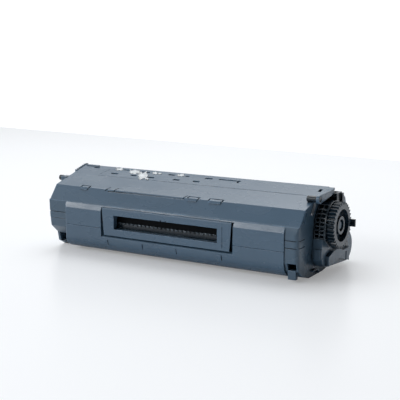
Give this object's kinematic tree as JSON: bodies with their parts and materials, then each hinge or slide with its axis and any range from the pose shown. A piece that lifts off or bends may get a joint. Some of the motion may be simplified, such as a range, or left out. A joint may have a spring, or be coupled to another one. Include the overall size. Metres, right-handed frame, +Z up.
{
  "type": "toner cartridge",
  "caption": "Laser printer toner cartridge: long faceted hopper with a slotted front bezel, end caps, a large drive gear in a cage, and a drum under a swinging shutter.",
  "frame": {"origin": "on the table plane, under the middle of the overall box", "axes": "+X along the rollers towards the gear end, -Y out of the slotted front, +Z up"},
  "size_m": [0.336, 0.12, 0.0847],
  "materials": {
    "shell": "fine satin moulded texture",
    "cap": "fine satin moulded texture",
    "dark_plastic": "satin black moulding",
    "gear_plastic": "smooth acetal",
    "bearing_plastic": "smooth acetal",
    "steel": "zinc plated",
    "rubber": "matt rubber",
    "film": "polyester film",
    "magnet": "bonded ferrite",
    "circuit_board": "lacquered board with gold pads",
    "drum_coating": "smooth organic coating on aluminium",
    "sleeve": "blasted and coated"
  },
  "bodies": {
    "frame": {"top_cover": "shell", "hopper_shell": "shell", "hopper_tray": "shell", "window_bezel": "shell", "window_channel": "dark_plastic", "slot_comb": "dark_plastic", "left_end_cap": "cap", "right_end_cap": "cap", "gear_cage": "dark_plastic", "gear_cover": "cap", "gear_retainer": "cap", "earth_clip": "steel", "guide_pins": "dark_plastic", "cap_screws": "steel", "fill_plug": "dark_plastic", "seal_film": "film", "doctor_bracket": "steel", "doctor_blade": "rubber", "magnet_core": "magnet", "dev_bushes": "bearing_plastic", "waste_bin": "cap", "waste_lid": "cap", "wiper_bracket": "steel", "wiper_blade": "rubber", "recovery_film": "film", "charge_bearings": "bearing_plastic", "charge_springs": "steel", "drum_pin": "steel", "shutter_pins": "steel", "contact_plates": "steel", "memory_chip": "circuit_board"},
    "drum": {"drum_tube": "drum_coating", "drum_gear": "gear_plastic", "drum_flange": "gear_plastic"},
    "developer_roller": {"dev_sleeve": "sleeve", "dev_gear": "gear_plastic", "dev_flange": "gear_plastic"},
    "charge_roller": {"charge_shaft": "steel", "charge_rubber": "rubber"},
    "drive": {"drive_gear": "gear_plastic"},
    "idler": {"idler_gear": "gear_plastic"},
    "agitator": {"agitator_shaft": "dark_plastic", "agitator_film": "film", "agitator_gear": "gear_plastic"},
    "shutter": {"drum_shutter": "cap", "shutter_arms": "cap", "shutter_spring": "steel"}
  },
  "joints": [
    {"name": "drum_spin", "type": "hinge", "parent": "frame", "child": "drum", "pos_m": [-0.006, 0.038, 0.019], "axis": [1, 0, 0], "continuous": true},
    {"name": "developer_spin", "type": "hinge", "parent": "frame", "child": "developer_roller", "pos_m": [-0.006, 0.01869, 0.02171], "axis": [1, 0, 0], "continuous": true},
    {"name": "charge_spin", "type": "hinge", "parent": "frame", "child": "charge_roller", "pos_m": [-0.006, 0.04248, 0.03571], "axis": [1, 0, 0], "continuous": true},
    {"name": "drive_spin", "type": "hinge", "parent": "frame", "child": "drive", "pos_m": [0.154, 0, 0.0484], "axis": [1, 0, 0], "continuous": true},
    {"name": "idler_spin", "type": "hinge", "parent": "frame", "child": "idler", "pos_m": [0.1505, 0.02513, 0.03496], "axis": [1, 0, 0], "continuous": true},
    {"name": "agitator_spin", "type": "hinge", "parent": "frame", "child": "agitator", "pos_m": [-0.006, -0.01201, 0.02311], "axis": [1, 0, 0], "continuous": true},
    {"name": "shutter_swing", "type": "hinge", "parent": "frame", "child": "shutter", "pos_m": [-0.006, 0.03, 0.044], "axis": [1, 0, 0], "range_deg": [0, 58], "stiffness_Nm_per_rad": 0.006, "springref_deg": -20.05}
  ],
  "couplings": [
    {"joint": "developer_spin", "follows": "drum_spin", "ratio": -1.6},
    {"joint": "charge_spin", "follows": "drum_spin", "ratio": -2.4},
    {"joint": "idler_spin", "follows": "drum_spin", "ratio": -1.4118},
    {"joint": "drive_spin", "follows": "drum_spin", "ratio": 0.6},
    {"joint": "agitator_spin", "follows": "drum_spin", "ratio": -0.8}
  ]
}
